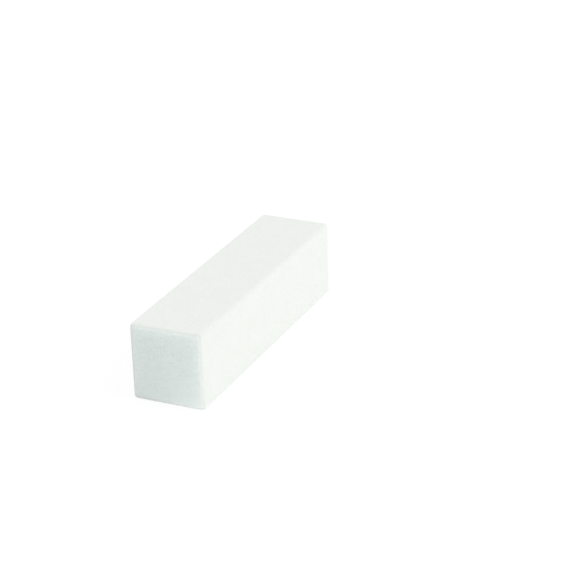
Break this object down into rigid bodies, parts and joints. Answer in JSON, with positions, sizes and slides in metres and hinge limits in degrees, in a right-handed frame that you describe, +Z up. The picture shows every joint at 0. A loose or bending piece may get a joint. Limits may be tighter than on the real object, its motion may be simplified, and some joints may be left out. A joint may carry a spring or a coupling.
{
  "type": "nail buffer block",
  "caption": "Nearly square bar of white foam with abrasive paper folded round its four long sides and bare foam ends, held by hand to smooth nails.",
  "frame": {"origin": "middle of the face that the block lies on", "axes": "+X along the block, from one bare end to the other; -Y out of the front face, and the paper's seam is low on the +Y back face; +Z up"},
  "size_m": [0.095, 0.0244, 0.0255],
  "materials": {
    "foam": "matte white closed-cell foam, cut, with fine open cells",
    "adhesive": "cloudy translucent pressure-sensitive film",
    "paper": "matte white latex-saturated paper",
    "resin": "satin white resin coat",
    "grit": "fine white mineral grains, matte with small glints"
  },
  "bodies": {
    "root": {"foam_core": "foam", "adhesive_film": "adhesive", "backing_paper": "paper", "resin_coat": "resin", "abrasive_grit": "grit"}
  },
  "joints": []
}
